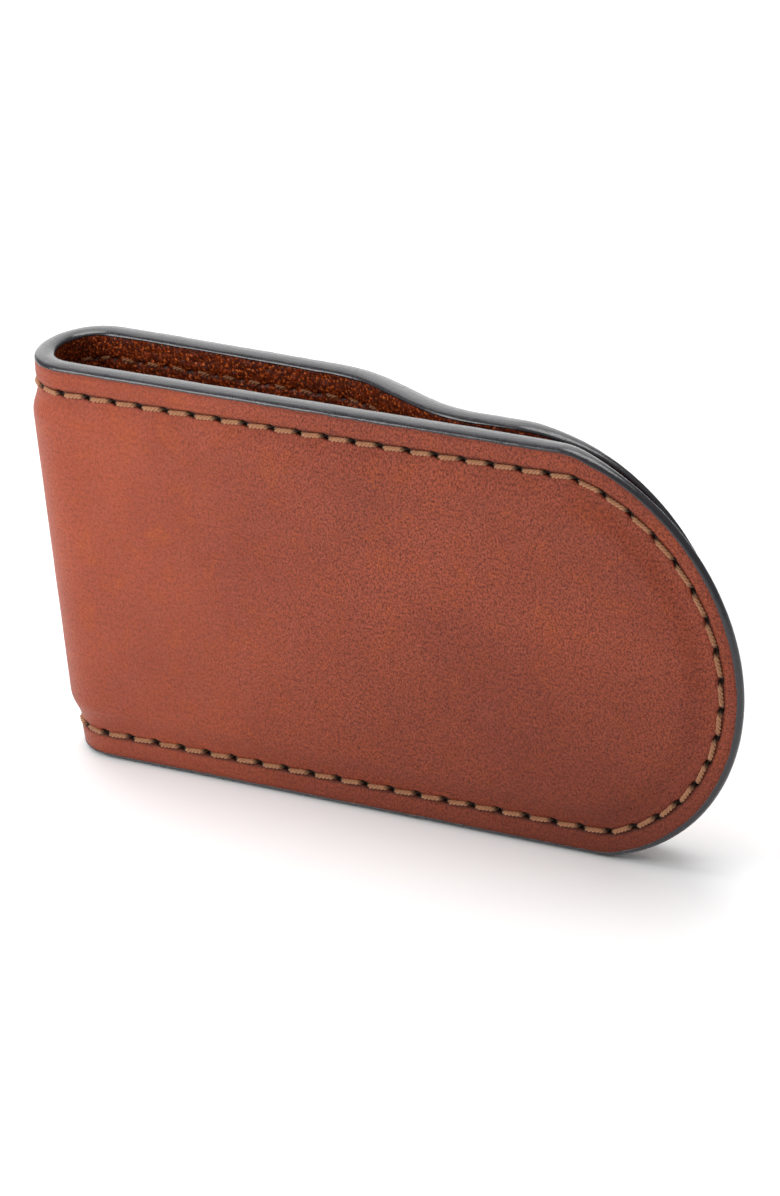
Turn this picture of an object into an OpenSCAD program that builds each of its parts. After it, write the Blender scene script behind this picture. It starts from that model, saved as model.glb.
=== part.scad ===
// Magnetic money clip: one folded strip of two leathers over a core board, sewn all round.
// It stands on its long edge. +X points to the rounded tips, +Y to the back flap, +Z up.
// The strip is described by s, the distance along its outer face, and by depth below that face.
// s is 0 where the fold starts, negative on the front flap and positive round the fold and back.

/* [Size] */
// Length from the padded fold to the tip
clip_length = 84.5; // [80:0.5:90]
// Height of the strip
clip_height = 44.5; // [43:0.5:45]
// Radius of the front flap's rounded tip
tip_radius = 22.9; // [22.8:0.1:23.5]
// How far the back flap's tip stops short of the front flap's tip
back_setback = 4.1; // [3:0.1:5]
// Radius that eases each tip into the straight edges
shoulder_radius = 8; // [6:0.5:10]
// Outer radius of the fold
fold_radius = 5.85; // [5.5:0.05:7]

/* [Layers] */
// Thickness of the outer leather
outer_t = 1.15; // [1.1:0.05:1.25]
// Thickness of the lining leather
lining_t = 1.05; // [1:0.05:1.15]
// Thickness of the core board, which the outer leather swells over
core_t = 0.8; // [0.6:0.05:1]
// Thickness of the edge paint
paint_t = 0.3; // [0.2:0.05:0.4]
// Gap between the two flaps at the tip when closed
tip_gap = 1; // [0.8:0.05:1.2]

/* [Back flap bend] */
// Slope of the long part of the back flap, in degrees
lean = 1.6; // [0.5:0.1:2.5]
// Slope of the step that brings the back flap down to the front flap, in degrees
step_slope = 23; // [20:1:27]
// Length of the easing bend after the fold
ease_run = 10; // [8:1:12]
// Length of the leaning straight
lean_run = 17.5; // [15:0.5:18]
// Length of the first bend of the step
crest_run = 7; // [6:0.5:8]
// Length of the second bend of the step
foot_run = 7.8; // [6:0.2:9]

/* [Sewing] */
// Distance of the seam from the edge
seam_inset = 3; // [2.8:0.1:3.2]
// Wanted distance from one stitch to the next
stitch_pitch = 3.2; // [3:0.1:3.6]
// Radius of the needle thread
needle_r = 0.3; // [0.25:0.01:0.32]
// Radius of the bobbin thread
bobbin_r = 0.24; // [0.2:0.01:0.26]

/* [Magnets] */
// Radius of each disc magnet
magnet_r = 7.5; // [5:0.5:9]
// Thickness of each disc magnet
magnet_t = 1.4; // [1.2:0.1:1.5]

/* [Hidden] */

strip_t = outer_t + lining_t;
pad_rise = core_t;
pad_inset = 4.2;
core_inset = 4.4;
needle_groove = 0.4;
needle_depth = needle_groove - needle_r - 0.02;
bobbin_groove = 0.56;
bobbin_depth = strip_t - bobbin_r - 0.02;
groove_half = 0.45;
// How much nearer to the edge the seam runs at the far end of each tip
seam_lean = 0.7;
stitch_share = 0.66;
mid_z = clip_height / 2;
back_tip_radius = mid_z + 0.05;
tip_x = clip_length / 2 - tip_radius;
back_tip_x = clip_length / 2 - back_setback - back_tip_radius;
fold_x = -clip_length / 2 + fold_radius + pad_rise;
past_tip = tip_radius + 5;
magnet_x = tip_x + 2;
facet_angle = 5;
eps = 0.001;

// Each rounded tip: [x of its centre, radius]
FRONT_TIP = [tip_x, tip_radius];
BACK_TIP = [back_tip_x, back_tip_radius];

// How far past the tip's centre its shoulder arcs are centred, and the angle each one turns through
function shoulder_x(tip) = sqrt(pow(tip[1] - shoulder_radius, 2) - pow(mid_z - shoulder_radius, 2));
function shoulder_turn(tip) = 90 - atan2(mid_z - shoulder_radius, shoulder_x(tip));

// The fold is three rigid segments between four hinge planes
fold_segments = 3;
stitches_per_segment = 2;
fold_run = PI * fold_radius;
segment_run = fold_run / fold_segments;

// Straight part of the step, long enough to bring the back flap down onto the front one
function fall(run, a, b) = run * sin((a + b) / 2) * bend_factor(b - a);
function bend_factor(turn) = turn == 0 ? 1 : sin(turn / 2) / (turn / 2 * PI / 180);
drop = 2 * fold_radius - 2 * strip_t - tip_gap;
bends_drop = fall(ease_run, 0, lean) + fall(lean_run, lean, lean)
    + fall(crest_run, lean, step_slope) + fall(foot_run, step_slope, 0);
step_run = (drop - bends_drop) / sin(step_slope);

// Stretches of the strip after the start of the fold: [length, turn in degrees]
RUN = [
    [fold_run, -180],
    [ease_run, -lean],
    [lean_run, 0],
    [crest_run, lean - step_slope],
    [step_run, 0],
    [foot_run, step_slope],
    [clip_length, 0]
];

// Place and heading on the outer face at distance s: [x, y, heading]
function chord(d, turn, h) =
    abs(turn) < eps
        ? d * [cos(h), sin(h)]
        : d / (turn * PI / 180) * [sin(h + turn) - sin(h), cos(h) - cos(h + turn)];
function along(s, i, x, y, h) =
    let (whole = RUN[i][0], last = s <= whole || i == len(RUN) - 1)
    let (d = last ? s : whole, turn = RUN[i][1] * d / whole, step = chord(d, turn, h))
    last
        ? [x + step[0], y + step[1], h + turn]
        : along(s - whole, i + 1, x + step[0], y + step[1], h + turn);
function at(s) = s <= 0 ? [fold_x - s, -fold_radius, 180] : along(s, 0, fold_x, -fold_radius, 180);
function point(s, depth) =
    let (p = at(s)) [p[0] + depth * sin(p[2]), p[1] - depth * cos(p[2])];

// Distances at which the outline of the strip needs a point
function start(i) = i == 0 ? 0 : start(i - 1) + RUN[i - 1][0];
STATIONS = [
    for (i = [0:len(RUN) - 1])
        let (n = max(1, ceil(abs(RUN[i][1]) / facet_angle)))
        for (k = [0:n - 1]) start(i) + RUN[i][0] * k / n
];
function stations(s0, s1) = concat([s0], [for (s = STATIONS) if (s > s0 + eps && s < s1 - eps) s], [s1]);

// Length of the back flap along its outer face, from the fold to the middle of the tip arc
back_start = fold_run;
foot_end = start(len(RUN) - 1);
back_reach = foot_end - fold_run + back_tip_x - at(foot_end)[0];
front_reach = tip_x - fold_x;

// Ends of each body along the strip
FRONT = [-front_reach - past_tip, 0];
FOLD_FRONT = [0, segment_run];
FOLD_MIDDLE = [segment_run, 2 * segment_run];
FOLD_BACK = [2 * segment_run, fold_run];
BACK = [fold_run, fold_run + back_reach + past_tip];
function tip_of(ends) = ends[0] < fold_run ? FRONT_TIP : BACK_TIP;

// Points on a circle arc
function arc(x, z, r, a0, a1) =
    let (n = ceil(abs(a1 - a0) / facet_angle * 2))
    [for (k = [0:n]) let (a = a0 + (a1 - a0) * k / n) [x + r * cos(a), z + r * sin(a)]];

// Side view of a flap, drawn in by inset
module side_shape(inset, tip) {
    s = shoulder_radius - inset;
    x = tip[0] + shoulder_x(tip);
    turn = 90 - shoulder_turn(tip);
    polygon(concat(
        [[-clip_length, inset]],
        arc(x, shoulder_radius, s, -90, -turn),
        arc(tip[0], mid_z, tip[1] - inset, -turn, turn),
        arc(x, clip_height - shoulder_radius, s, turn, 90),
        [[-clip_length, clip_height - inset]]
    ));
}
module side_block(inset, tip) {
    rotate([90, 0, 0])
        linear_extrude(height = 4 * fold_radius, center = true)
            side_shape(inset, tip);
}

// Part of the strip between two depths, trimmed to the side view moved along by shift
module layer(ends, top, bottom, inset, shift = 0) {
    list = stations(ends[0], ends[1]);
    n = len(list);
    intersection() {
        translate([0, 0, -1])
            linear_extrude(height = clip_height + 2)
                polygon(concat(
                    [for (s = list) point(s, top)],
                    [for (i = [1:n]) point(list[n - i], bottom)]
                ));
        translate([shift, 0, 0])
            side_block(inset, tip_of(ends));
    }
}

// Channel along the seam, between two depths
module groove(ends, top, bottom) {
    difference() {
        layer(ends, top, bottom, seam_inset - groove_half, seam_lean);
        translate([seam_lean, 0, 0])
            side_block(seam_inset + groove_half, tip_of(ends));
    }
}

// One stitch lying on the strip, turned by tilt within its face
module stitch(s, z, tilt, depth, r, run) {
    p = at(s);
    q = point(s, depth);
    translate([q[0], q[1], z])
        rotate([0, 90 - tilt, p[2]])
            cylinder(r = r, h = run, center = true, $fn = 16);
}

// Seam of one flap from the fold round the tip and back: [distance from the fold, z, tilt]
seam_shoulder_r = shoulder_radius - seam_inset;
function shoulder_run(tip) = seam_shoulder_r * shoulder_turn(tip) * PI / 180;
function tip_run(tip) = (tip[1] - seam_inset) * (90 - shoulder_turn(tip)) * PI / 90;
function seam_length(reach, tip) = 2 * (reach + shoulder_x(tip) + shoulder_run(tip)) + tip_run(tip);
function seam(q, reach, tip) =
    let (straight = reach + shoulder_x(tip), total = seam_length(reach, tip), r = tip[1] - seam_inset)
    q > total / 2 ? mirrored(seam(total - q, reach, tip))
    : q < straight ? [q, seam_inset, 0]
    : q < straight + shoulder_run(tip)
        ? let (a = (q - straight) / seam_shoulder_r * 180 / PI)
            [straight + seam_shoulder_r * sin(a), shoulder_radius - seam_shoulder_r * cos(a), a]
        : let (a = shoulder_turn(tip) + (q - straight - shoulder_run(tip)) / r * 180 / PI)
            [reach + r * sin(a), mid_z - r * cos(a), a];
function mirrored(p) = [p[0], clip_height - p[1], -p[2]];

// All stitches of one flap; side is -1 on the front flap and 1 on the back flap
module flap_stitches(side, from, reach, depth, r) {
    tip = side < 0 ? FRONT_TIP : BACK_TIP;
    total = seam_length(reach + seam_lean, tip);
    count = round(total / stitch_pitch);
    pitch = total / count;
    for (k = [0:count - 1]) {
        p = seam((k + 0.5) * pitch, reach + seam_lean, tip);
        stitch(from + side * p[0], p[1], side * p[2], depth, r, pitch * stitch_share);
    }
}

// All stitches of one fold segment, along its upper and lower edge
module fold_stitches(ends, depth, r) {
    pitch = (ends[1] - ends[0]) / stitches_per_segment;
    run = pitch * (fold_radius - depth) / fold_radius * stitch_share;
    for (k = [0:stitches_per_segment - 1], z = [seam_inset, clip_height - seam_inset])
        stitch(ends[0] + (k + 0.5) * pitch, z, 0, depth, r, run);
}

// Disc-shaped space for a magnet, between two depths on a flap whose tip face is at face_y
module disc(face_y, inward, top, thick, r) {
    translate([magnet_x, face_y + inward * top, mid_z])
        rotate([-90 * inward, 0, 0])
            cylinder(r = r, h = thick, $fn = 64);
}
module front_disc(clear) {
    disc(-fold_radius, 1, outer_t - core_t, magnet_t, magnet_r + clear);
}
module back_disc(clear) {
    disc(at(fold_run + back_reach)[1], -1, outer_t - core_t, magnet_t, magnet_r + clear);
}
magnet_clear = 0.1;

// The layers, each between the two ends of a body
module outer_leather(ends) {
    color([0.55, 0.25, 0.16])
        difference() {
            union() {
                layer(ends, 0, outer_t, paint_t);
                layer(ends, -pad_rise, outer_t - core_t, pad_inset);
            }
            layer(ends, outer_t - core_t, outer_t, core_inset);
            groove(ends, -needle_groove, needle_groove);
        }
}
module core_board(ends) {
    color([0.72, 0.62, 0.47])
        layer(ends, outer_t - core_t, outer_t, core_inset);
}
module lining(ends) {
    color([0.62, 0.27, 0.1])
        difference() {
            layer(ends, outer_t, strip_t, paint_t);
            groove(ends, strip_t - bobbin_groove, strip_t + bobbin_groove);
        }
}
module edge_paint(ends) {
    color([0.2, 0.19, 0.22])
        difference() {
            layer(ends, 0, strip_t, 0);
            side_block(paint_t, tip_of(ends));
        }
}
module thread_colour() {
    color([0.62, 0.47, 0.3]) children();
}

module front_outer_leather() { outer_leather(FRONT); }
module front_core_board() {
    difference() {
        core_board(FRONT);
        front_disc(magnet_clear);
    }
}
module front_lining() {
    difference() {
        lining(FRONT);
        front_disc(magnet_clear);
    }
}
module front_magnet() { color("silver") front_disc(0); }
module front_needle_thread() {
    thread_colour() flap_stitches(-1, 0, front_reach, needle_depth, needle_r);
}
module front_bobbin_thread() {
    thread_colour() flap_stitches(-1, 0, front_reach, bobbin_depth, bobbin_r);
}
module front_edge_paint() { edge_paint(FRONT); }

module fold_front_outer_leather() { outer_leather(FOLD_FRONT); }
module fold_front_core_board() { core_board(FOLD_FRONT); }
module fold_front_lining() { lining(FOLD_FRONT); }
module fold_front_needle_thread() { thread_colour() fold_stitches(FOLD_FRONT, needle_depth, needle_r); }
module fold_front_bobbin_thread() { thread_colour() fold_stitches(FOLD_FRONT, bobbin_depth, bobbin_r); }
module fold_front_edge_paint() { edge_paint(FOLD_FRONT); }

module fold_middle_outer_leather() { outer_leather(FOLD_MIDDLE); }
module fold_middle_core_board() { core_board(FOLD_MIDDLE); }
module fold_middle_lining() { lining(FOLD_MIDDLE); }
module fold_middle_needle_thread() { thread_colour() fold_stitches(FOLD_MIDDLE, needle_depth, needle_r); }
module fold_middle_bobbin_thread() { thread_colour() fold_stitches(FOLD_MIDDLE, bobbin_depth, bobbin_r); }
module fold_middle_edge_paint() { edge_paint(FOLD_MIDDLE); }

module fold_back_outer_leather() { outer_leather(FOLD_BACK); }
module fold_back_core_board() { core_board(FOLD_BACK); }
module fold_back_lining() { lining(FOLD_BACK); }
module fold_back_needle_thread() { thread_colour() fold_stitches(FOLD_BACK, needle_depth, needle_r); }
module fold_back_bobbin_thread() { thread_colour() fold_stitches(FOLD_BACK, bobbin_depth, bobbin_r); }
module fold_back_edge_paint() { edge_paint(FOLD_BACK); }

module back_outer_leather() { outer_leather(BACK); }
module back_core_board() {
    difference() {
        core_board(BACK);
        back_disc(magnet_clear);
    }
}
module back_lining() {
    difference() {
        lining(BACK);
        back_disc(magnet_clear);
    }
}
module back_magnet() { color("silver") back_disc(0); }
module back_needle_thread() {
    thread_colour() flap_stitches(1, back_start, back_reach, needle_depth, needle_r);
}
module back_bobbin_thread() {
    thread_colour() flap_stitches(1, back_start, back_reach, bobbin_depth, bobbin_r);
}
module back_edge_paint() { edge_paint(BACK); }

front_outer_leather();
front_core_board();
front_lining();
front_magnet();
front_needle_thread();
front_bobbin_thread();
front_edge_paint();
fold_front_outer_leather();
fold_front_core_board();
fold_front_lining();
fold_front_needle_thread();
fold_front_bobbin_thread();
fold_front_edge_paint();
fold_middle_outer_leather();
fold_middle_core_board();
fold_middle_lining();
fold_middle_needle_thread();
fold_middle_bobbin_thread();
fold_middle_edge_paint();
fold_back_outer_leather();
fold_back_core_board();
fold_back_lining();
fold_back_needle_thread();
fold_back_bobbin_thread();
fold_back_edge_paint();
back_outer_leather();
back_core_board();
back_lining();
back_magnet();
back_needle_thread();
back_bobbin_thread();
back_edge_paint();
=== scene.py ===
"""Looks of the magnetic money clip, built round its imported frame.

The strip is drawn flat in two strip coordinates, in millimetres: s runs along its outer face and z across it.
s is 0 where the fold starts, negative on the front flap and positive round the fold and along the back flap.
A third number, depth, goes down from the outer face. bend() turns all three into a place in the frame.
"""
import math

import bpy
import numpy as np
from mathutils import Matrix, Vector


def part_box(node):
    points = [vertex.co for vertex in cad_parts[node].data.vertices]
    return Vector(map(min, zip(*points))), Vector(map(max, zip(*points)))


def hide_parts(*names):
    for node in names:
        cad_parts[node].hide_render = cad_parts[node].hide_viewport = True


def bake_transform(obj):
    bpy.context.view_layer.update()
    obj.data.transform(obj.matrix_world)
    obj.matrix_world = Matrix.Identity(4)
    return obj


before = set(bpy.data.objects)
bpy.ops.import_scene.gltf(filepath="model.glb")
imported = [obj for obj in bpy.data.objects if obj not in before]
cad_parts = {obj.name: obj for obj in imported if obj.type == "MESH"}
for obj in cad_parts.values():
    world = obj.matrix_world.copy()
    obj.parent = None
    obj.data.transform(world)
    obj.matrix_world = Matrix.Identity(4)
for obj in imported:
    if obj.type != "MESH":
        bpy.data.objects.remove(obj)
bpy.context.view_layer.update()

MM = 0.001

# ---------------------------------------------------------------- sizes, from the frame
paint_low, paint_high = [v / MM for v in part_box("front_edge_paint")]
leather_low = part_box("front_outer_leather")[0] / MM
lining_low, lining_high = [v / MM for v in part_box("front_lining")]
back_lining_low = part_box("back_lining")[0] / MM
back_paint_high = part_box("back_edge_paint")[1] / MM

HEIGHT = paint_high.z
MID = HEIGHT / 2
FOLD_X = paint_low.x
FOLD_R = -paint_low.y
STRIP_T = paint_high.y - paint_low.y
OUTER_T = lining_low.y - paint_low.y
PAD = paint_low.y - leather_low.y
TIP_GAP = back_lining_low.y - lining_high.y
SHOULDER_R = 8.0
FRONT_TIP_R = 22.9
BACK_TIP_R = MID + 0.05
FRONT_TIP_X = paint_high.x - FRONT_TIP_R
BACK_TIP_X = back_paint_high.x - BACK_TIP_R

# Bend of the back flap: run in mm and slope in degrees
EASE_RUN = 10.0
LEAN_RUN = 17.5
CREST_RUN = 7.0
FOOT_RUN = 7.8
LEAN = 1.6
STEP_SLOPE = 23.0

# Seam. SEAM_LEAN is how much nearer to the edge it runs at the far end of each tip
SEAM = 3.0
SEAM_LEAN = 0.7
SEAM_SHOULDER_R = SHOULDER_R - SEAM
STITCH_PITCH = 3.2
STITCHES_PER_SEGMENT = 2

SEGMENTS = 3
FOLD_RUN = math.pi * FOLD_R
SEGMENT = FOLD_RUN / SEGMENTS
FOLD_PITCH = SEGMENT / STITCHES_PER_SEGMENT


# ---------------------------------------------------------------- the bent strip
def fall(run, a, b):
    """How far a stretch comes down while its slope goes from a to b degrees."""
    half = math.radians(b - a) / 2
    return run * math.sin(math.radians(a + b) / 2) * (math.sin(half) / half if half else 1.0)


def back_runs():
    """Stretches after the start of the fold: [length, turn in degrees]."""
    drop = 2 * FOLD_R - 2 * STRIP_T - TIP_GAP
    bends = fall(EASE_RUN, 0, LEAN) + fall(LEAN_RUN, LEAN, LEAN)
    bends += fall(CREST_RUN, LEAN, STEP_SLOPE) + fall(FOOT_RUN, STEP_SLOPE, 0)
    step_run = (drop - bends) / math.sin(math.radians(STEP_SLOPE))
    return [
        [FOLD_RUN, -180.0],
        [EASE_RUN, -LEAN],
        [LEAN_RUN, 0.0],
        [CREST_RUN, LEAN - STEP_SLOPE],
        [step_run, 0.0],
        [FOOT_RUN, STEP_SLOPE],
        [90.0, 0.0],
    ]


PATH_STEP = 0.02
PATH_BEFORE = 6.0
SOFTEN = 2.4


def make_path():
    """Table of the outer face: distance, x, y and heading, with each change of bend eased a little."""
    runs = back_runs()
    ends = np.concatenate([[0.0], np.cumsum([r[0] for r in runs])])
    turns = np.concatenate([[180.0], 180.0 + np.cumsum([r[1] for r in runs])])
    s = np.arange(-PATH_BEFORE, ends[-1] - 10.0, PATH_STEP)
    raw = np.interp(s, ends, turns)
    width = int(SOFTEN / PATH_STEP) | 1
    padded = np.pad(raw, width // 2, mode="edge")
    heading = np.radians(np.convolve(padded, np.ones(width) / width, mode="valid"))
    dx = np.cos(heading) * PATH_STEP
    dy = np.sin(heading) * PATH_STEP
    x = FOLD_X + PATH_BEFORE + np.concatenate([[0.0], np.cumsum((dx[1:] + dx[:-1]) / 2)])
    y = -FOLD_R + np.concatenate([[0.0], np.cumsum((dy[1:] + dy[:-1]) / 2)])
    return s, x, y, heading


PATH_S, PATH_X, PATH_Y, PATH_H = make_path()
foot_end = sum(r[0] for r in back_runs()[:-1])
BACK_REACH = foot_end - FOLD_RUN + BACK_TIP_X - float(np.interp(foot_end, PATH_S, PATH_X))
# The eased path ends a hair away from the straight-and-arc one, so it is set to the frame's own gap
tip_y = float(np.interp(foot_end + 5, PATH_S, PATH_Y))
PATH_Y = PATH_Y + (-FOLD_R + 2 * STRIP_T + TIP_GAP - tip_y) * np.clip((PATH_S - FOLD_RUN) / 30.0, 0, 1)


def bend(s, z, depth):
    """Places in the frame, in millimetres, of points given in strip coordinates."""
    x = np.interp(s, PATH_S, PATH_X)
    y = np.interp(s, PATH_S, PATH_Y)
    h = np.interp(s, PATH_S, PATH_H)
    x = np.where(s < -PATH_BEFORE, FOLD_X - s, x)
    return np.stack([x + depth * np.sin(h), y - depth * np.cos(h), z + 0 * s], axis=-1)


# ---------------------------------------------------------------- noise made in code
def hashed(ix, iy, seed):
    h = (ix * 374761393 + iy * 668265263 + seed * 1442695041) & 0xFFFFFFFF
    h = ((h ^ (h >> 13)) * 1274126177) & 0xFFFFFFFF
    return ((h ^ (h >> 16)) & 0xFFFF) / 32767.5 - 1.0


def noise(x, y, seed):
    """Smooth noise from -1 to 1 with features about one unit across."""
    fx, fy = np.floor(x), np.floor(y)
    ix, iy = fx.astype(np.int64), fy.astype(np.int64)
    tx, ty = x - fx, y - fy
    tx, ty = tx * tx * (3 - 2 * tx), ty * ty * (3 - 2 * ty)
    a = hashed(ix, iy, seed) * (1 - tx) + hashed(ix + 1, iy, seed) * tx
    b = hashed(ix, iy + 1, seed) * (1 - tx) + hashed(ix + 1, iy + 1, seed) * tx
    return a * (1 - ty) + b * ty


def smooth(a, b, x):
    t = np.clip((x - a) / (b - a), 0, 1)
    return t * t * (3 - 2 * t)


# ---------------------------------------------------------------- outline and seam in strip coordinates


class Tip:
    """The rounded end of one flap, and the seam that runs round it."""

    def __init__(self, side, origin, reach, radius):
        self.side, self.origin, self.reach, self.radius = side, origin, reach, radius
        self.shoulder_x = math.sqrt((radius - SHOULDER_R) ** 2 - (MID - SHOULDER_R) ** 2)
        self.arc_turn = math.atan2(MID - SHOULDER_R, self.shoulder_x)
        self.shoulder_turn = math.pi / 2 - self.arc_turn
        self.straight = reach + self.shoulder_x
        self.seam_r = radius - SEAM
        self.shoulder_run = SEAM_SHOULDER_R * self.shoulder_turn
        self.seam_straight = self.straight + SEAM_LEAN
        self.seam_length = 2 * (self.seam_straight + self.shoulder_run + self.seam_r * self.arc_turn)
        self.stitches = round(self.seam_length / STITCH_PITCH)
        self.pitch = self.seam_length / self.stitches

    def field(self, u, zz):
        """Distance from the edge and along the seam's turns, for places u past the fold on the lower half.
        The seam leans towards the tip, so seam_field() asks for places that much nearer to the fold."""
        angle = np.arctan2(MID - zz, u - self.reach)
        in_tip = (u > self.reach) & (angle < self.arc_turn)
        in_shoulder = (u > self.straight) & ~in_tip
        inset = np.where(in_tip, self.radius - np.hypot(u - self.reach, MID - zz), zz)
        inset = np.where(in_shoulder, SHOULDER_R - np.hypot(u - self.straight, SHOULDER_R - zz), inset)
        arc_run = self.straight + self.shoulder_run + self.seam_r * (self.arc_turn - angle)
        run = np.where(in_tip, arc_run, u)
        eased = self.straight + SEAM_SHOULDER_R * np.arctan2(u - self.straight, SHOULDER_R - zz)
        return inset, np.where(in_shoulder, eased, run)

    def place(self, run):
        """Distance past the fold, z, and the direction towards the edge, at distances along the seam."""
        over = run > self.seam_length / 2
        run = np.where(over, self.seam_length - run, run)
        b = np.clip((run - self.seam_straight) / SEAM_SHOULDER_R, 0, self.shoulder_turn)
        a = self.shoulder_turn + (run - self.seam_straight - self.shoulder_run) / self.seam_r
        on_arc = run > self.seam_straight + self.shoulder_run
        u = np.where(run < self.seam_straight, run, self.seam_straight + SEAM_SHOULDER_R * np.sin(b))
        z = np.where(run < self.seam_straight, SEAM, SHOULDER_R - SEAM_SHOULDER_R * np.cos(b))
        u = np.where(on_arc, self.reach + SEAM_LEAN + self.seam_r * np.sin(a), u)
        z = np.where(on_arc, MID - self.seam_r * np.cos(a), z)
        turn = np.where(on_arc, a, b)
        out_z = -np.cos(turn)
        return u, np.where(over, HEIGHT - z, z), np.sin(turn), np.where(over, -out_z, out_z)


FRONT = Tip(-1, 0.0, FRONT_TIP_X - FOLD_X, FRONT_TIP_R)
BACK = Tip(1, FOLD_RUN, BACK_REACH, BACK_TIP_R)


def edge_inset(s, z):
    """Distance from the flap's edge."""
    zz = np.minimum(z, HEIGHT - z)
    inset = np.where(s < 0, FRONT.field(-s, zz)[0], zz)
    return np.where(s > FOLD_RUN, BACK.field(s - FOLD_RUN, zz)[0], inset)


def seam_field(s, z):
    """Distance inwards from the seam, place along it in stitches, the pitch, and the way it was sewn."""
    zz = np.minimum(z, HEIGHT - z)
    front, back = s < 0, s > FOLD_RUN
    off_f, run_f = FRONT.field(-s - SEAM_LEAN, zz)
    off_b, run_b = BACK.field(s - FOLD_RUN - SEAM_LEAN, zz)
    off = np.where(front, off_f, np.where(back, off_b, zz)) - SEAM
    pitch = np.where(front, FRONT.pitch, np.where(back, BACK.pitch, FOLD_PITCH))
    run = np.where(front, run_f + SEAM_LEAN, np.where(back, run_b + SEAM_LEAN, s))
    way = np.where(z > MID, 1.0, -1.0) * np.where(front, 1.0, -1.0)
    return off, run / pitch, pitch, way


# ---------------------------------------------------------------- relief of the two faces
# The raised middle starts and ends this far from the edge, and rises by this share of the frame's step
PAD_START = 3.5
PAD_END = 6.4
PAD_SHARE = 0.96

# Needle slits: half length, half width and lean
HOLE_LONG = 0.52
HOLE_WIDE = 0.25
HOLE_TURN = math.radians(19)

# The rim loses this share of its thickness, from THIN_START to THIN_END past the centre of the tip's arc,
# and THIN_REACH in from the edge
THIN_SHARE = 0.56
THIN_START = -1.0
THIN_END = 14.5
THIN_REACH = 5.5

# Each face: stitch channel [depth, half width], needle slits [depth, size], rounding at the edge
# [depth, reach], and the step down to the edge paint
OUTER_CHANNEL = (0.13, 0.42)
OUTER_SLIT = (0.50, 1.0)
OUTER_ROUND = (0.14, 1.4)
OUTER_STEP = 0.28
INNER_CHANNEL = (0.10, 0.40)
INNER_SLIT = (0.14, 0.6)
INNER_ROUND = (0.10, 1.2)
INNER_STEP = 0.22
STEP_FROM = 0.50
STEP_TO = 0.32

# Between the channel and the edge the outer leather swells a little
SWELL = 0.05
SWELL_OFF = 0.9
SWELL_WIDE = 0.45
GRAIN_DEPTH = 0.05
LINING_CLEAR = 0.03


def hole_shape(across, place, pitch, way, size):
    """1 at the middle of a slanted needle slit, falling to 0 round it."""
    along = (place - np.round(place)) * pitch * way
    a = along * math.cos(HOLE_TURN) + across * math.sin(HOLE_TURN)
    b = across * math.cos(HOLE_TURN) - along * math.sin(HOLE_TURN)
    return np.exp(-np.abs(b / (HOLE_WIDE * size)) ** 2.4 - np.abs(a / (HOLE_LONG * size)) ** 3)


def rim_scale(s, inset):
    """How thick the strip is for its place: 1, and less where its rim thins round a tip."""
    past = np.where(s < 0, -s - FRONT.reach, s - FOLD_RUN - BACK.reach)
    return 1 - THIN_SHARE * smooth(THIN_START, THIN_END, past) * smooth(THIN_REACH, 0.0, inset)


def sewn_edge(s, z, inset, channel, slit, rounding, step):
    """How far a face sinks below its flat level: stitch channel, needle slits and soft edge."""
    across, place, pitch, way = seam_field(s, z)
    sunk = channel[0] * np.exp(-(across / channel[1]) ** 2)
    sunk = sunk + slit[0] * hole_shape(across, place, pitch, way, slit[1])
    sunk = sunk + rounding[0] * np.clip(1 - inset / rounding[1], 0, 1) ** 2
    return sunk + step * smooth(STEP_FROM, STEP_TO, inset)


def outer_depth(s, z):
    """Depth of the outer leather's face: sewn edge, padded middle and slight unevenness."""
    inset = edge_inset(s, z)
    across = seam_field(s, z)[0]
    depth = sewn_edge(s, z, inset, OUTER_CHANNEL, OUTER_SLIT, OUTER_ROUND, OUTER_STEP)
    depth = depth - PAD * PAD_SHARE * smooth(PAD_START, PAD_END, inset)
    depth = depth - SWELL * np.exp(-((across + SWELL_OFF) / SWELL_WIDE) ** 2)
    depth = depth + 0.045 * noise(s / 13, z / 13, 3) * smooth(1, 8, inset)
    return depth + 0.012 * noise(s / 3.1, z / 3.1, 4)


def grain(s, z):
    """Pebbled grain of the lining, from -1 to 1."""
    bumps = noise(s / 0.75, z / 0.75, 11) + 0.6 * noise(s / 0.42 + 7, z / 0.42, 12)
    return bumps / 1.6


def inner_depth(s, z):
    """Depth of the lining's face, measured from the outer face like every depth."""
    inset = edge_inset(s, z)
    depth = (STRIP_T - LINING_CLEAR) * rim_scale(s, inset)
    depth = depth - sewn_edge(s, z, inset, INNER_CHANNEL, INNER_SLIT, INNER_ROUND, INNER_STEP)
    return depth + GRAIN_DEPTH * grain(s, z) * smooth(0.3, 1.2, inset)


def hidden_depth(s, z):
    """Depth at which the two leathers meet."""
    return OUTER_T * rim_scale(s, edge_inset(s, z))


NORMAL_STEP = 0.02


def face_normals(depth_of, s, z):
    """Unit normals of a face, pointing to greater depth."""
    e = NORMAL_STEP
    ds = bend(s + e, z, depth_of(s + e, z)) - bend(s - e, z, depth_of(s - e, z))
    dz = bend(s, z + e, depth_of(s, z + e)) - bend(s, z - e, depth_of(s, z - e))
    n = np.cross(ds, dz)
    return n / np.maximum(np.linalg.norm(n, axis=-1, keepdims=True), 1e-12)


# ---------------------------------------------------------------- columns across the strip
COLUMN_STEP = 0.2
SHOULDER_COLUMNS = 8
# The strip is cut into pieces in the middle of each fold segment, away from the hinges
SPLITS = [SEGMENT * (k + 0.5) for k in range(SEGMENTS)]


def span(a, b):
    return np.linspace(a, b, max(2, int(math.ceil(abs(b - a) / COLUMN_STEP)) + 1))


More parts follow.
